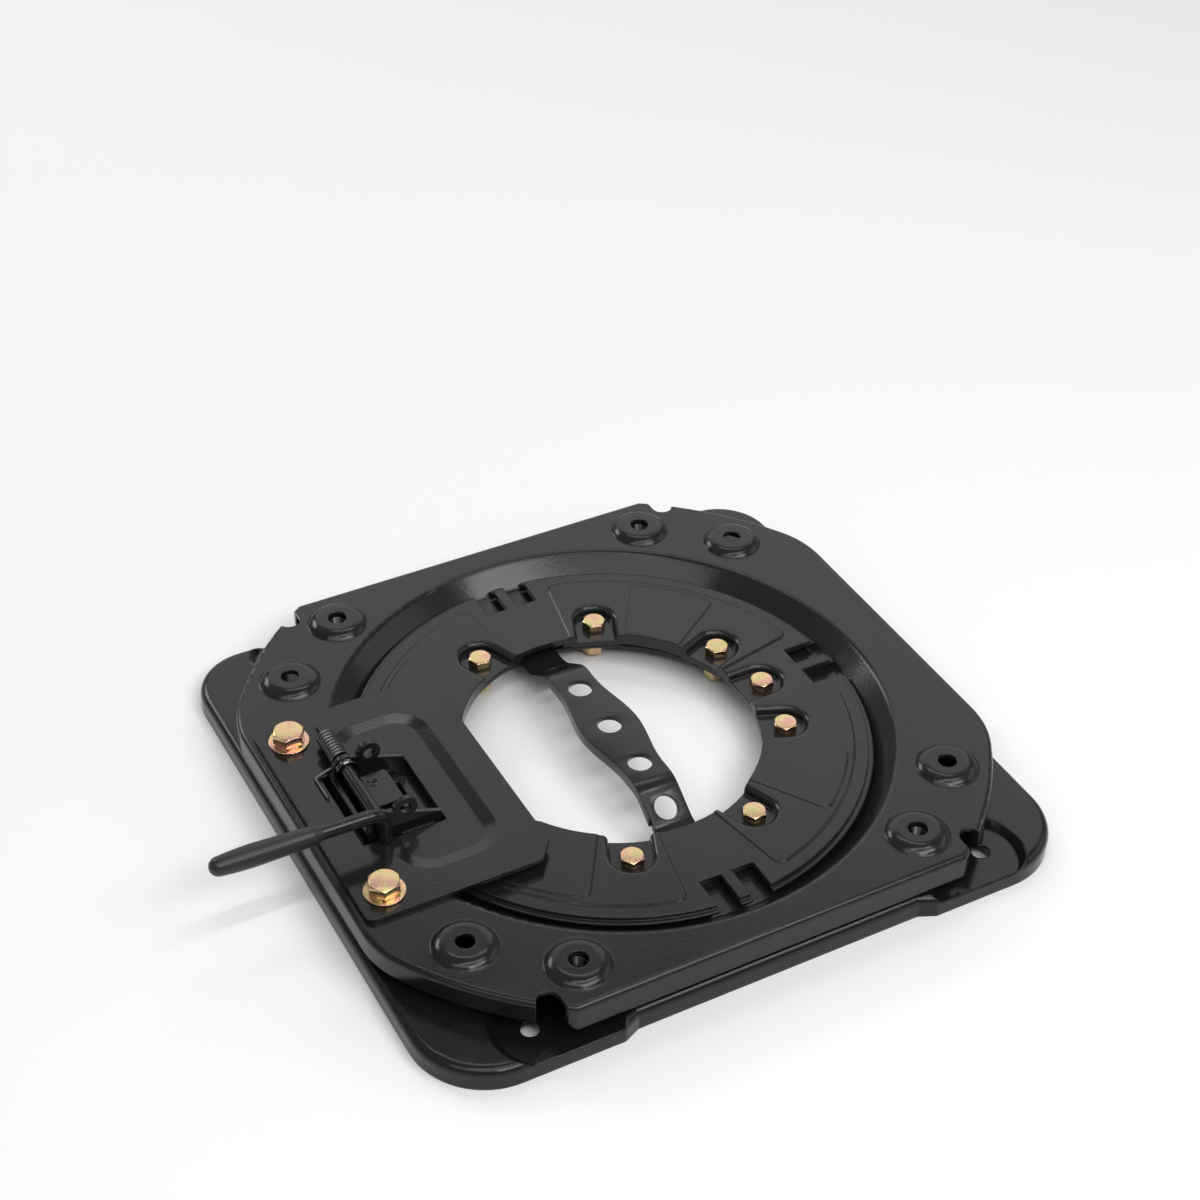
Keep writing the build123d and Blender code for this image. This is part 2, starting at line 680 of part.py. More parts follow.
save(base_plate(), "base_plate")
save(clamp_ring(), "clamp_ring")
save(cross_strap(), "cross_strap")
save(spacer_ring(), "spacer_ring")
save(lower_slide_ring(), "lower_slide_ring")
save(upper_slide_ring(), "upper_slide_ring")
for number, angle in enumerate(bolt_angles, 1):
    place = on_circle(angle, bolt_circle) * Rot(0, 0, angle + 12 * (number % 4))
    save(place * ring_bolt(), "ring_bolt_%02d" % number)
    save(place * ring_nut(), "ring_nut_%02d" % number)
save(top_plate(), "top_plate")
corners = [(-1, -1), (1, -1), (-1, 1), (1, 1)]
for number, (sx, sy) in enumerate(corners, 1):
    place = Pos(sx * thread_x, sy * thread_y)
    save(place * weld_nut(top_level + dome_rise - sheet), "weld_nut_%d" % number)
save(latch_plate(), "latch_plate")
save(latch_bracket(), "latch_bracket")
for name, side, turn in (("front", -1, 10), ("rear", 1, 0)):
    place = Pos(latch_bolt_x, side * latch_bolt_y)
    save(place * Rot(0, 0, turn) * latch_bolt(), "latch_bolt_" + name)
    save(place * latch_washer(), "latch_washer_" + name)
    save(place * latch_nut(), "latch_nut_" + name)
save(return_spring(), "return_spring")
save(axle(), "axle")
save(axle_collar(), "axle_collar")
save(pawl(), "pawl")
save(lever_rod(), "lever_rod")
save(grip(), "grip")
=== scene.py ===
import math

import bpy
from mathutils import Matrix, Vector


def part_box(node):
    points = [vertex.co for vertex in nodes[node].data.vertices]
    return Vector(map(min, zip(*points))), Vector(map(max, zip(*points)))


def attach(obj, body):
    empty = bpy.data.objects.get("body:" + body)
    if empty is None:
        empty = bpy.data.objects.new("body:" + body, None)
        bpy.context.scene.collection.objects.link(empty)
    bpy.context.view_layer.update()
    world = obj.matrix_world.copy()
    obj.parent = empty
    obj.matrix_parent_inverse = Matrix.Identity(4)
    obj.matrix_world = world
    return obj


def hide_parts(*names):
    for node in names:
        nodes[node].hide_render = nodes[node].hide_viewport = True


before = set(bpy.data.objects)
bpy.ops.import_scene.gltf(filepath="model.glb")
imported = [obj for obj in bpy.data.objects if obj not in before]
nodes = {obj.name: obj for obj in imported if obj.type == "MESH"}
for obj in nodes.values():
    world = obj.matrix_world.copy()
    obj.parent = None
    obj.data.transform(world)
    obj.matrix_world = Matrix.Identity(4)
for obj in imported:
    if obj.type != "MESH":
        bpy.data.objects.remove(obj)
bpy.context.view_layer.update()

# The camera stands where the photograph was taken from, a little left of the base and
# above it. The picture's centre lies off the lens axis, so the lens is shifted.
frame_pixels = 1200
focal_pixels = 2272.5
axis_across = 557.83
axis_down = 599.21
film_width = 36
camera_place = Vector((-0.5087, -0.8778, 0.9344))
azimuth = math.radians(28.2)
elevation = math.radians(38.52)
roll = math.radians(0.86)
ahead = Vector((
    math.cos(elevation) * math.sin(azimuth),
    math.cos(elevation) * math.cos(azimuth),
    -math.sin(elevation)))
sideways = Vector((math.cos(azimuth), -math.sin(azimuth), 0))
upright = sideways.cross(ahead)
right = math.cos(roll) * sideways + math.sin(roll) * upright
up = math.cos(roll) * upright - math.sin(roll) * sideways
bpy.ops.object.select_all(action="DESELECT")
bpy.ops.object.camera_add(location=camera_place)
camera = bpy.context.object
camera.name = "camera"
camera.matrix_world = Matrix((
    (right.x, up.x, -ahead.x, camera_place.x),
    (right.y, up.y, -ahead.y, camera_place.y),
    (right.z, up.z, -ahead.z, camera_place.z),
    (0, 0, 0, 1)))
camera.data.sensor_width = film_width
camera.data.lens = focal_pixels * film_width / frame_pixels
camera.data.shift_x = 0.5 - axis_across / frame_pixels
camera.data.shift_y = axis_down / frame_pixels - 0.5
camera.data.clip_start = 0.01
bpy.context.scene.camera = camera

# Plain soft studio light: a dim pale world all round, and soft boxes and walls that the
# black paint mirrors. The back wall shines in the flat steel, the front box lights floor
# and bolts, and the narrow strip draws the bright strokes on domes and rims.
bpy.context.scene.view_settings.view_transform = "Standard"
world = bpy.data.worlds.new("studio")
bpy.context.scene.world = world
world.use_nodes = True
sky = world.node_tree.nodes["Background"]
sky.inputs["Color"].default_value = (0.98, 0.99, 1.0, 1)
sky.inputs["Strength"].default_value = 0.31


def soft_box(name, place, wide, deep, power):
    """One soft box lamp that looks at the middle of the base."""
    bpy.ops.object.light_add(type="AREA", location=place)
    lamp = bpy.context.object
    lamp.name = name
    lamp.data.shape = "RECTANGLE"
    lamp.data.size = wide
    lamp.data.size_y = deep
    lamp.data.energy = power
    lamp.rotation_euler = (-Vector(place)).to_track_quat("-Z", "Y").to_euler()


soft_box("rear_box", (-0.75, 1.8, 1.2), wide=0.8, deep=0.6, power=8)
soft_box("front_box", (0.33, -1.35, 1.5), wide=1.5, deep=0.5, power=15)
soft_box("over_box", (-0.79, -0.94, 1.6), wide=1.6, deep=0.5, power=6)
soft_box("right_wall", (2.1, -0.6, 1.15), wide=1.6, deep=0.9, power=3.2)
soft_box("top_box", (0.52, 0.83, 2.0), wide=1.2, deep=0.28, power=3.8)
soft_box("high_box", (0.63, -0.75, 1.85), wide=1.0, deep=0.45, power=2.2)
soft_box("strip", (0.02, -0.6, 2.0), wide=1.7, deep=0.08, power=7)
soft_box("back_wall", (1.17, 2.14, 1.6), wide=3.0, deep=1.7, power=15.5)

# A plain pale floor that runs out of the picture on every side and keeps the shadow. It
# is matt paper, a little darker than white so that the light on it doesn't burn out.
floor_size = 16
bpy.ops.mesh.primitive_plane_add(size=floor_size, location=(0, 0, 0))
floor = bpy.context.object
floor.name = "floor"
floor_paper = bpy.data.materials.new("floor_paper")
floor_paper.use_nodes = True
paper = floor_paper.node_tree.nodes["Principled BSDF"]
paper.inputs["Base Color"].default_value = (0.92, 0.92, 0.915, 1)
paper.inputs["Roughness"].default_value = 0.9
paper.inputs["Specular IOR Level"].default_value = 0.1
floor.data.materials.append(floor_paper)


# The base is one pressed steel plate, 3 mm thick, with its rim turned down to the floor, a
# large centre hole and a sunken pad for a bolt at each corner. It is powder painted a
# satin black all over.
def new_material(name):
    """A node material with its node tree, its shader and its object coordinates."""
    material = bpy.data.materials.new(name)
    material.use_nodes = True
    tree = material.node_tree
    shader = tree.nodes["Principled BSDF"]
    place = tree.nodes.new("ShaderNodeTexCoord")
    return material, tree, shader, place.outputs["Object"]


def grain(tree, where, scale, detail, stretch=(1, 1, 1)):
    """A noise on the object, stretched where the grain runs one way."""
    mapping = tree.nodes.new("ShaderNodeMapping")
    mapping.inputs["Scale"].default_value = stretch
    noise = tree.nodes.new("ShaderNodeTexNoise")
    noise.inputs["Scale"].default_value = scale
    noise.inputs["Detail"].default_value = detail
    tree.links.new(where, mapping.inputs["Vector"])
    tree.links.new(mapping.outputs["Vector"], noise.inputs["Vector"])
    return noise.outputs["Fac"]


def ramp(tree, value, stops):
    """A colour or grey ramp over a value, as (place, colour) stops."""
    node = tree.nodes.new("ShaderNodeValToRGB")
    band = node.color_ramp
    while len(band.elements) < len(stops):
        band.elements.new(0.5)
    for element, (place, colour) in zip(band.elements, stops):
        element.position = place
        shade = colour if isinstance(colour, tuple) else (colour, colour, colour)
        element.color = (*shade, 1)
    tree.links.new(value, node.inputs["Fac"])
    return node.outputs["Color"]


def combine(tree, first, second, operation="ADD"):
    """Two greys, or a grey and a number, put together and kept from 0 to 1."""
    node = tree.nodes.new("ShaderNodeMath")
    node.operation = operation
    node.use_clamp = True
    tree.links.new(first, node.inputs[0])
    if isinstance(second, (int, float)):
        node.inputs[1].default_value = second
    else:
        tree.links.new(second, node.inputs[1])
    return node.outputs["Value"]


def soften(tree, shader, height, depth, radius):
    """The fine surface height, on edges that the press and the paint have rounded."""
    edge = tree.nodes.new("ShaderNodeBevel")
    edge.samples = 6
    edge.inputs["Radius"].default_value = radius
    bump = tree.nodes.new("ShaderNodeBump")
    bump.inputs["Strength"].default_value = 1.0
    bump.inputs["Distance"].default_value = depth
    tree.links.new(height, bump.inputs["Height"])
    tree.links.new(edge.outputs["Normal"], bump.inputs["Normal"])
    tree.links.new(bump.outputs["Normal"], shader.inputs["Normal"])


def satin_paint(name, tone, dust, gloss, marks, edge):
    """Satin black powder paint: orange peel, faint dust and handling marks."""
    bare_grey = (0.22, 0.22, 0.22)
    peel_depth = 0.00004
    material, tree, shader, where = new_material(name)
    cloudy = grain(tree, where, scale=14, detail=5)
    body = ramp(tree, cloudy, [(0.3, tone), (0.75, tuple(c + dust for c in tone))])
    specks = ramp(tree, grain(tree, where, scale=900, detail=1), [(0.76, 0.0), (0.82, 1.0)])
    rubs = grain(tree, where, scale=60, detail=2, stretch=(1.0, 14.0, 4.0))
    scuffs = ramp(tree, rubs, [(0.70, 0.0), (0.76, 1.0)])
    lines = grain(tree, where, scale=34, detail=3, stretch=(22.0, 1.4, 3.0))
    scratches = ramp(tree, lines, [(0.71, 0.0), (0.73, 1.0)])
    patches = ramp(tree, grain(tree, where, scale=9, detail=2), [(0.5, 0.0), (0.72, 1.0)])
    worn = combine(tree, combine(tree, scratches, scuffs), patches, "MULTIPLY")
    worn = combine(tree, combine(tree, worn, specks), marks, "MULTIPLY")
    colour = tree.nodes.new("ShaderNodeMix")
    colour.data_type = "RGBA"
    tree.links.new(worn, colour.inputs[0])
    tree.links.new(body, colour.inputs[6])
    colour.inputs[7].default_value = (*bare_grey, 1)
    tree.links.new(colour.outputs[2], shader.inputs["Base Color"])
    sheen = grain(tree, where, scale=22, detail=6)
    rough = ramp(tree, sheen, [(0.3, gloss - 0.03), (0.75, gloss + 0.05)])
    rough = combine(tree, rough, combine(tree, worn, 0.5, "MULTIPLY"))
    tree.links.new(rough, shader.inputs["Roughness"])
    shader.inputs["IOR"].default_value = 1.41
    soften(tree, shader, grain(tree, where, scale=520, detail=2), peel_depth, edge)
    return material


def dress(material, *names):
    """The finish goes on all the slots of the named solids."""
    for name in names:
        solid = nodes[name]
        if not solid.material_slots:
            solid.data.materials.append(material)
        for slot in solid.material_slots:
            slot.material = material


base_paint = satin_paint("base_paint", (0.006, 0.006, 0.0063), dust=0.003, gloss=0.13,
                         marks=0.15, edge=0.002)
dress(base_paint, "base_plate")


# Two smooth rings of black plastic lie under and over the turntable's flange, between
# the base and the clamp ring. They let it turn, and the upper one centres it.
def moulded(name, tone, gloss, grain_scale, grain_depth):
    """Plain moulded or dipped plastic with a fine even grain."""
    edge = 0.0003
    material, tree, shader, where = new_material(name)
    paler = tuple(c * 1.5 for c in tone)
    cloudy = ramp(tree, grain(tree, where, scale=40, detail=3), [(0.3, tone), (0.8, paler)])
    tree.links.new(cloudy, shader.inputs["Base Color"])
    sheen = grain(tree, where, scale=70, detail=4)
    rough = ramp(tree, sheen, [(0.3, gloss - 0.05), (0.8, gloss + 0.07)])
    tree.links.new(rough, shader.inputs["Roughness"])
    shader.inputs["IOR"].default_value = 1.46
    soften(tree, shader, grain(tree, where, grain_scale, detail=2), grain_depth, edge)
    return material


slide_plastic = moulded("slide_plastic", (0.010, 0.010, 0.0105), gloss=0.45,
                        grain_scale=600, grain_depth=0.00003)
dress(slide_plastic, "lower_slide_ring", "upper_slide_ring")

# A flat steel spacer ring sets the gap between the base and the clamp ring. Only its
# inner edge shows, under the pockets, in a duller black paint.
spacer_paint = satin_paint("spacer_paint", (0.008, 0.008, 0.0083), dust=0.004, gloss=0.3,
                           marks=0.1, edge=0.002)
dress(spacer_paint, "spacer_ring")

# The clamp ring is pressed steel, bolted through the spacer to the base, with a pocket
# for each bolt, raised sectors and four pairs of slots that the latch drops into.
ring_paint = satin_paint("ring_paint", (0.009, 0.009, 0.0094), dust=0.005, gloss=0.16,
                         marks=0.14, edge=0.0014)
dress(ring_paint, "clamp_ring")


# A strap bridges the centre hole. It is sheet steel, wider at its middle hole, with its
# long sides turned down and both ends pressed down to feet on the base's inner rim.
def choose(mode, wanted):
    """In edit mode, only the vertices, edges or faces that fit stay selected."""
    bpy.ops.mesh.select_mode(type=mode)
    bpy.ops.mesh.select_all(action="DESELECT")
    bpy.ops.object.mode_set(mode="OBJECT")
    mesh = bpy.context.object.data
    items = {"VERT": mesh.vertices, "EDGE": mesh.edges, "FACE": mesh.polygons}[mode]
    for item in items:
        item.select = bool(wanted(mesh, item))
    bpy.ops.object.mode_set(mode="EDIT")


def cut_with(piece, tool, operation):
    """One solid cut from another, or kept only where both are."""
    bpy.ops.object.select_all(action="DESELECT")
    bpy.context.view_layer.objects.active = piece
    piece.select_set(True)
    bpy.context.view_layer.update()
    cut = piece.modifiers.new("cut", "BOOLEAN")
    cut.operation = operation
    cut.object = tool
    cut.solver = "EXACT"
    bpy.ops.object.modifier_apply(modifier=cut.name)
    bpy.data.objects.remove(tool)


def rounded(piece, width, segments=3, angle=30):
    """A small round on every sharp edge, as rolling, pressing and plating leave it."""
    bevel = piece.modifiers.new("round", "BEVEL")
    bevel.width = width
    bevel.segments = segments
    bevel.limit_method = "ANGLE"
    bevel.angle_limit = math.radians(angle)
    bevel.use_clamp_overlap = True
    bpy.ops.object.modifier_apply(modifier=bevel.name)
    bpy.ops.object.shade_smooth_by_angle(angle=math.radians(35))


near = 0.0003
strap_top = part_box("cross_strap")[1][2]
strap_sheet = 0.003
strap_half = 0.0125
strap_wider = 1.46
strap_shift = -0.0018
strap_side = 0.0072
strap_side_end = 0.071
strap_knee = 0.0555
strap_foot = 0.0795
strap_end = 0.0984
foot_top = 0.017
fold_reach = 0.005
strap_edge = 0.0013
station_gap = 0.003
stations_each_way = 14
hole_radius = 0.0074
hole_gap = 0.037
hole_lowered = 0.0014
slope_hole = (strap_knee + strap_foot) / 2 + hole_lowered
drill_length = 0.018


def across_fold(mesh, edge):
    """An edge that runs across the strap at a knee or a foot."""
    ends = [mesh.vertices[corner].co.y for corner in edge.vertices]
    folds = (strap_knee, strap_foot)
    return abs(ends[0] - ends[1]) < near and any(abs(abs(ends[0]) - fold) < near for fold in folds)


def along_side(mesh, edge):
    """An edge along one long side, short of the feet."""
    ends = [mesh.vertices[corner].co for corner in edge.vertices]
    return ends[0].x * ends[1].x > 0 and all(
        abs(end.x) > strap_half - near and abs(end.y) < strap_side_end + near for end in ends)


bpy.ops.object.select_all(action="DESELECT")
bpy.ops.mesh.primitive_plane_add(size=2, location=(0, 0, strap_top))
strap = bpy.context.object
strap.name = strap.data.name = "bridge_strap"
strap.scale = (strap_half, strap_end, 1)
bpy.ops.object.transform_apply(location=True, rotation=True, scale=True)
bpy.ops.object.mode_set(mode="EDIT")
stations = [station_gap * step for step in range(-stations_each_way, stations_each_way + 1)]
rear_folds = [-strap_foot, -strap_side_end, -strap_knee]
front_folds = [strap_knee, strap_side_end, strap_foot]
for station in stations + rear_folds + front_folds:
    bpy.ops.mesh.select_all(action="SELECT")
    bpy.ops.mesh.bisect(plane_co=(0, station, 0), plane_no=(0, 1, 0))
for station in stations:
    swell = 0.5 + 0.5 * math.cos(math.pi * station / stations[-1])
    widening = 1 + (strap_wider - 1) * swell
    choose("VERT", lambda mesh, vertex: abs(vertex.co.y - station) < near)
    bpy.ops.transform.resize(value=(widening, 1, 1), center_override=(0, station, strap_top))
choose("VERT", lambda mesh, vertex: abs(vertex.co.y) > strap_foot - near)
bpy.ops.transform.translate(value=(0, 0, foot_top - strap_top))
sunk = (strap_top - foot_top) * (strap_side_end - strap_knee) / (strap_foot - strap_knee)
choose("VERT", lambda mesh, vertex: abs(abs(vertex.co.y) - strap_side_end) < near)
bpy.ops.transform.translate(value=(0, 0, -sunk))
choose("EDGE", across_fold)
bpy.ops.mesh.bevel(offset=fold_reach, segments=6, affect="EDGES")
bpy.ops.mesh.select_all(action="SELECT")
bpy.ops.mesh.normals_make_consistent(inside=False)
choose("EDGE", along_side)
bpy.ops.mesh.extrude_edges_move(TRANSFORM_OT_translate={"value": (0, 0, -strap_side)})
bpy.ops.object.mode_set(mode="OBJECT")
thicken = strap.modifiers.new("sheet", "SOLIDIFY")
thicken.thickness = strap_sheet
thicken.offset = -1
thicken.use_even_offset = True
bpy.ops.object.modifier_apply(modifier=thicken.name)
slope = math.atan2(strap_top - foot_top, strap_foot - strap_knee)
slope_hole_top = strap_top - (slope_hole - strap_knee) * math.tan(slope)
for y, height, tilt in (
        (-slope_hole, slope_hole_top, slope), (-hole_gap, strap_top, 0), (0, strap_top, 0),
        (hole_gap, strap_top, 0), (slope_hole, slope_hole_top, -slope)):
    bpy.ops.mesh.primitive_cylinder_add(vertices=64, radius=hole_radius, depth=drill_length,
                                        location=(0, y, height), rotation=(tilt, 0, 0))
    cut_with(strap, bpy.context.object, "DIFFERENCE")
rounded(strap, strap_edge, segments=4, angle=40)
strap.location = (strap_shift, 0, 0)
bpy.ops.object.transform_apply(location=True, rotation=True, scale=True)
strap_paint = satin_paint("strap_paint", (0.009, 0.009, 0.0094), dust=0.005, gloss=0.19,
                          marks=0.14, edge=0.0009)
strap.data.materials.append(strap_paint)
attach(strap, "base")
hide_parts("cross_strap")


# The ring bolts and their nuts are M8, in bright zinc plate with a yellow passivated
# film, whose colour runs from straw through pink to green. They clamp the ring, the
# spacer and the base together.
def yellow_zinc(name, gloss):
    """Yellow passivated zinc: a metal whose film changes colour in soft patches."""
    grain_depth, edge = 0.00001, 0.0003
    material, tree, shader, where = new_material(name)
    film = ramp(tree, grain(tree, where, scale=110, detail=1), [
        (0.28, (0.50, 0.47, 0.20)), (0.43, (0.63, 0.49, 0.25)), (0.55, (0.66, 0.42, 0.27)),
        (0.66, (0.62, 0.36, 0.29)), (0.78, (0.58, 0.47, 0.24))])
    tree.links.new(film, shader.inputs["Base Color"])
    shader.inputs["Metallic"].default_value = 1.0
    sheen = grain(tree, where, scale=700, detail=4)
    rough = ramp(tree, sheen, [(0.3, gloss - 0.08), (0.8, gloss + 0.10)])
    tree.links.new(rough, shader.inputs["Roughness"])
    soften(tree, shader, grain(tree, where, scale=1500, detail=3), grain_depth, edge)
    return material


def round_bar(radius, low, high, facets):
    """A round bar that stands on the z axis between two heights."""
    bpy.ops.object.select_all(action="DESELECT")
    bpy.ops.mesh.primitive_cylinder_add(vertices=facets, radius=radius, depth=high - low,
                                        location=(0, 0, (low + high) / 2))
    bar = bpy.context.object
    bpy.ops.object.transform_apply(location=True, rotation=True, scale=True)
    return bar


def hex_bar(flats, low, high, faced_top, faced_foot):
    """A hexagon bar whose corners are turned off by a cone at one or both ends."""
    tall = high - low
    middle = (low + high) / 2
    bpy.ops.object.select_all(action="DESELECT")
    bpy.ops.mesh.primitive_cylinder_add(vertices=6, radius=flats / 2 / math.cos(math.pi / 6),
                                        depth=tall, location=(0, 0, middle),
                                        rotation=(0, 0, math.radians(30)))
    bar = bpy.context.object
    bpy.ops.object.transform_apply(location=True, rotation=True, scale=True)
    cone_slope = 1.73
    face_share = 0.97
    spare = 0.001
    face_radius = flats / 2 * face_share
    wide = face_radius + (tall + spare) * cone_slope
    narrow = face_radius - spare * cone_slope
    for faced, radii in ((faced_top, (wide, narrow)), (faced_foot, (narrow, wide))):
        if faced:
            bpy.ops.mesh.primitive_cone_add(vertices=72, radius1=radii[0], radius2=radii[1],
                                            depth=tall + 2 * spare, location=(0, 0, middle))
            cut_with(bar, bpy.context.object, "INTERSECT")
    return bar


def turned_thread(core, outer, pitch, low, high):
    """A threaded length of rod with a short turned point at its low end."""
    plain_end = 0.0008
    plain_ends = 0.001
    point = 0.86
    at_tip = 0.0001
    rod = round_bar(core, low, high, 36)
    turns = int((high - low - plain_ends) / pitch)
    levels = [low + plain_end + half_turn * pitch / 2 for half_turn in range(2 * turns)]
    bpy.ops.object.mode_set(mode="EDIT")
    for level in levels:
        bpy.ops.mesh.select_all(action="SELECT")
        bpy.ops.mesh.bisect(plane_co=(0, 0, level), plane_no=(0, 0, 1))
    crests = {round(level, 5) for level in levels[1::2]}
    choose("VERT", lambda mesh, vertex: round(vertex.co.z, 5) in crests)
    bpy.ops.transform.resize(value=(outer / core, outer / core, 1), center_override=(0, 0, 0))
    choose("VERT", lambda mesh, vertex: vertex.co.z < low + at_tip)
    bpy.ops.transform.resize(value=(point, point, 1), center_override=(0, 0, 0))
    bpy.ops.object.mode_set(mode="OBJECT")
    return rod


def join(parts, name):
    """Several meshes made one piece."""
    bpy.ops.object.select_all(action="DESELECT")
    for part in parts:
        part.select_set(True)
    bpy.context.view_layer.objects.active = parts[0]
    bpy.ops.object.join()
    parts[0].name = parts[0].data.name = name
    return parts[0]


def copy_to(model, name, turn, material, body, node):
    """One more of a piece that repeats, with its own mesh, in the place of its CAD node."""
    low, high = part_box(node)
    piece = model.copy()
    piece.data = model.data.copy()
    bpy.context.collection.objects.link(piece)
    piece.name = piece.data.name = name
    bpy.ops.object.select_all(action="DESELECT")
    bpy.context.view_layer.objects.active = piece
    piece.select_set(True)
    piece.location = ((low[0] + high[0]) / 2, (low[1] + high[1]) / 2, 0)
    piece.rotation_euler = (0, 0, turn)
    bpy.ops.object.transform_apply(location=True, rotation=True, scale=True)
    piece.data.materials.clear()
    piece.data.materials.append(material)
    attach(piece, body)
    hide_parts(node)


zinc = yellow_zinc("yellow_zinc", gloss=0.24)
m8_flats = 0.013
m8_seat = 0.0225
m8_head = 0.0053
m8_end = 0.0025
m8_core = 0.00335
m8_outer = 0.0040
m8_pitch = 0.00125
m8_edge = 0.00018
m8_nut_low = 0.0042
m8_nut_high = 0.011
into_head = 0.0005
bore_spare = 0.005
bolt_angles = (0, 22.5, 67.5, 112.5, 157.5, 180, 202.5, 247.5, 292.5, 337.5)
turn_step = 12
head = hex_bar(m8_flats, m8_seat, m8_seat + m8_head, faced_top=True, faced_foot=False)
rounded(head, m8_edge, segments=2)
shank = turned_thread(m8_core, m8_outer, m8_pitch, m8_end, m8_seat + into_head)
bolt_model = join([head, shank], "bolt_model")
nut_model = hex_bar(m8_flats, m8_nut_low, m8_nut_high, faced_top=True, faced_foot=True)
bore = round_bar(m8_outer, m8_nut_low - bore_spare, m8_nut_high + bore_spare, 36)
cut_with(nut_model, bore, "DIFFERENCE")
rounded(nut_model, m8_edge, segments=2)
for number, angle in enumerate(bolt_angles, 1):
    turn = math.radians(angle + turn_step * (number % 4))
    copy_to(bolt_model, f"zinc_bolt_{number:02d}", turn, zinc, "base",
            f"ring_bolt_{number:02d}")
    copy_to(nut_model, f"zinc_nut_{number:02d}", turn, zinc, "base",
            f"ring_nut_{number:02d}")
bpy.data.objects.remove(bolt_model)
bpy.data.objects.remove(nut_model)

# The turntable is the second pressed plate. Its sunken middle turns between the slide
# rings, and eight domes carry the seat rails: four drilled, four with a thread.
plate_paint = satin_paint("plate_paint", (0.008, 0.008, 0.0083), dust=0.004, gloss=0.17,
                          marks=0.1, edge=0.0016)
dress(plate_paint, "top_plate")


# Under four of the domes a hexagon weld nut takes the seat bolt. It is bare steel, and
# its cut thread shows as fine rings down the hole.
def bright_steel(name, tone, gloss):
    """Plain machined steel with a fine turned grain and a little oil film."""
    grain_depth, edge = 0.00002, 0.0002
    material, tree, shader, where = new_material(name)
    oily = tuple(c * 0.72 for c in tone)
    film = ramp(tree, grain(tree, where, scale=220, detail=3), [(0.3, tone), (0.8, oily)])
    tree.links.new(film, shader.inputs["Base Color"])
    shader.inputs["Metallic"].default_value = 1.0
    turned = grain(tree, where, scale=900, detail=3, stretch=(1, 1, 6))
    rough = ramp(tree, turned, [(0.3, gloss - 0.08), (0.8, gloss + 0.1)])
    tree.links.new(rough, shader.inputs["Roughness"])
    soften(tree, shader, grain(tree, where, scale=1600, detail=2), grain_depth, edge)
    return material


# The nut's steel is taken down to near black so that its hole reads dark: this is painted shade
# down the hole.
thread_steel_painted_shade = bright_steel("thread_steel_painted_shade", (0.045, 0.045, 0.044), gloss=0.22)
m10_flats = 0.017
m10_outer = 0.005
m10_pitch = 0.0015
tap_core = 0.00425
tap_spare = 0.003
weld_nut_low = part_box("weld_nut_1")[0][2]
weld_nut_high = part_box("weld_nut_1")[1][2]
seat_nut = hex_bar(m10_flats, weld_nut_low, weld_nut_high, faced_top=False, faced_foot=True)
tap = turned_thread(tap_core, m10_outer, m10_pitch, weld_nut_low - tap_spare,
                    weld_nut_high + tap_spare)
cut_with(seat_nut, tap, "DIFFERENCE")
bpy.ops.object.shade_smooth_by_angle(angle=math.radians(25))
for number in range(1, 5):
    copy_to(seat_nut, f"seat_nut_{number}", 0, thread_steel_painted_shade, "turntable",
            f"weld_nut_{number}")
bpy.data.objects.remove(seat_nut)

# The latch plate is sheet steel, bolted down on the turntable. A folded bracket is
# welded in its window, and between the bracket's cheeks swings the pawl with its two
# teeth. All three have the same satin paint.
latch_paint = satin_paint("latch_paint", (0.008, 0.008, 0.0083), dust=0.004, gloss=0.14,
                          marks=0.16, edge=0.0009)
dress(latch_paint, "latch_plate", "latch_bracket", "pawl")


# Two M10 bolts of the same yellow zinc hold the latch plate. Each has a split spring
# washer over a thin stamped washer, and runs into a hexagon nut under the turntable.
def stamped_ring(outer, inner, low, high, edge):
    """A flat washer with the rounded edges that stamping and tumbling leave."""
    ring = round_bar(outer, low, high, 72)
    middle = (low + high) / 2
    through = 2 * (high - low)
    cut_with(ring, round_bar(inner, middle - through, middle + through, 72), "DIFFERENCE")
    rounded(ring, edge)
    return ring


washer_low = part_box("latch_washer_front")[0][2]
washer_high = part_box("latch_washer_front")[1][2]
thin_sheet = 0.0013
thin_outer = 0.012
thin_inner = 0.0053
thin_edge = 0.0004
spring_outer = 0.0092
spring_inner = 0.0051
spring_edge = 0.0002
under_head = 0.00002
split_place = (0.0072, 0, washer_high)
split_size = (0.008, 0.0009, 0.006)
split_tilt = 0.5
split_turn = -2.1
m10_core = 0.00424
m10_edge = 0.00025
m10_nut_edge = 0.0002
m10_turns = {"front": math.radians(10), "rear": 0.0}
m10_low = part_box("latch_bolt_front")[0][2]
m10_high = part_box("latch_bolt_front")[1][2]
m10_nut_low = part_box("latch_nut_front")[0][2]
m10_nut_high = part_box("latch_nut_front")[1][2]
thin_top = washer_low + thin_sheet
spring_washer = stamped_ring(spring_outer, spring_inner, thin_top, washer_high - under_head,
                             spring_edge)
bpy.ops.mesh.primitive_cube_add(size=1, location=split_place, rotation=(split_tilt, 0, 0))
slit = bpy.context.object
slit.scale = split_size
cut_with(spring_washer, slit, "DIFFERENCE")
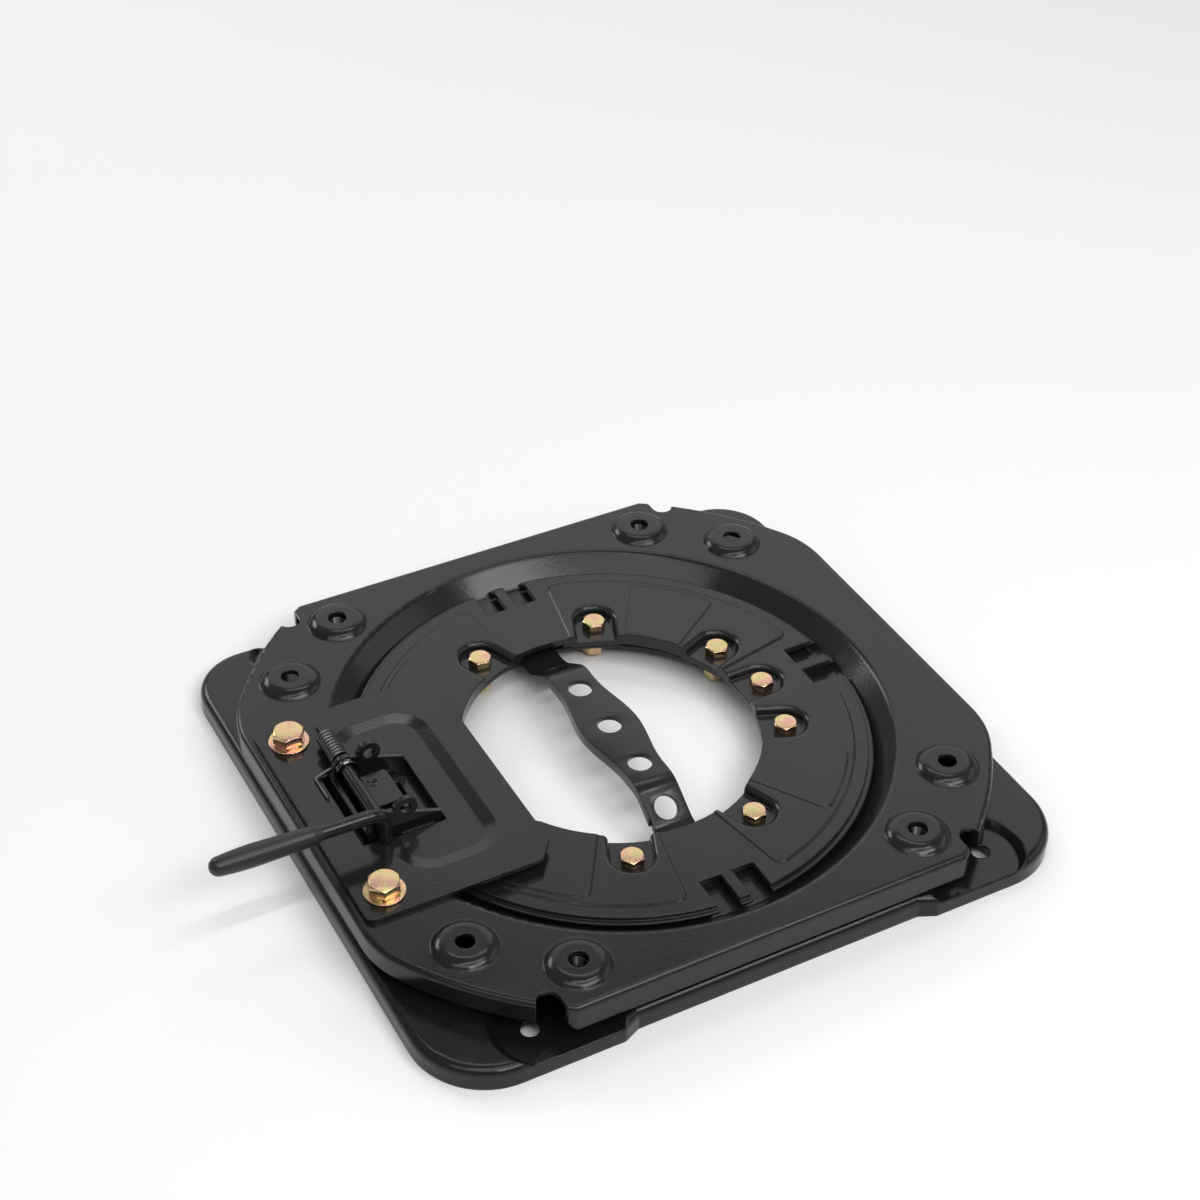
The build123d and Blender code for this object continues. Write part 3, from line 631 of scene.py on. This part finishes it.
thin_washer = stamped_ring(thin_outer, thin_inner, washer_low, thin_top, thin_edge)
washer_model = join([thin_washer, spring_washer], "washer_model")
head = hex_bar(m10_flats, washer_high, m10_high, faced_top=True, faced_foot=False)
rounded(head, m10_edge, segments=2)
shank = turned_thread(m10_core, m10_outer, m10_pitch, m10_low, washer_high + into_head)
m10_model = join([head, shank], "m10_model")
m10_nut = hex_bar(m10_flats, m10_nut_low, m10_nut_high, faced_top=False, faced_foot=True)
bore = round_bar(m10_outer, m10_nut_low - bore_spare, m10_nut_high + bore_spare, 36)
cut_with(m10_nut, bore, "DIFFERENCE")
rounded(m10_nut, m10_nut_edge, segments=2)
for side, turn in m10_turns.items():
    copy_to(m10_model, f"m10_bolt_{side}", turn, zinc, "turntable",
            f"latch_bolt_{side}")
    copy_to(washer_model, f"m10_washers_{side}", split_turn, zinc, "turntable",
            f"latch_washer_{side}")
    copy_to(m10_nut, f"m10_nut_{side}", 0, zinc, "turntable",
            f"latch_nut_{side}")
for model in (washer_model, m10_model, m10_nut):
    bpy.data.objects.remove(model)

# The lever is one bent round bar, and the axle that turns in the bracket is welded into
# its leg. Both are steel bar under a thin glossy coat of black.
rod_paint = satin_paint("rod_paint", (0.007, 0.007, 0.0073), dust=0.003, gloss=0.12,
                        marks=0.15, edge=0.0005)
dress(rod_paint, "lever_rod", "axle")

# The return spring is hard drawn wire, wound on the end of the axle, with one leg hooked
# on the latch plate. It is unpainted and dulled with oil.
spring_steel = bright_steel("spring_steel", (0.15, 0.15, 0.155), gloss=0.34)
dress(spring_steel, "return_spring")

# A small pressed collar of bare dark steel is pushed on the axle and keeps it in place
# in the bracket.
collar_steel = bright_steel("collar_steel", (0.09, 0.09, 0.09), gloss=0.14)
dress(collar_steel, "axle_collar")

# The grip is a soft black vinyl sleeve, dipped on the end of the lever, with a fine
# even grain.
grip_vinyl = moulded("grip_vinyl", (0.012, 0.012, 0.0125), gloss=0.36,
                     grain_scale=900, grain_depth=0.00004)
dress(grip_vinyl, "grip")
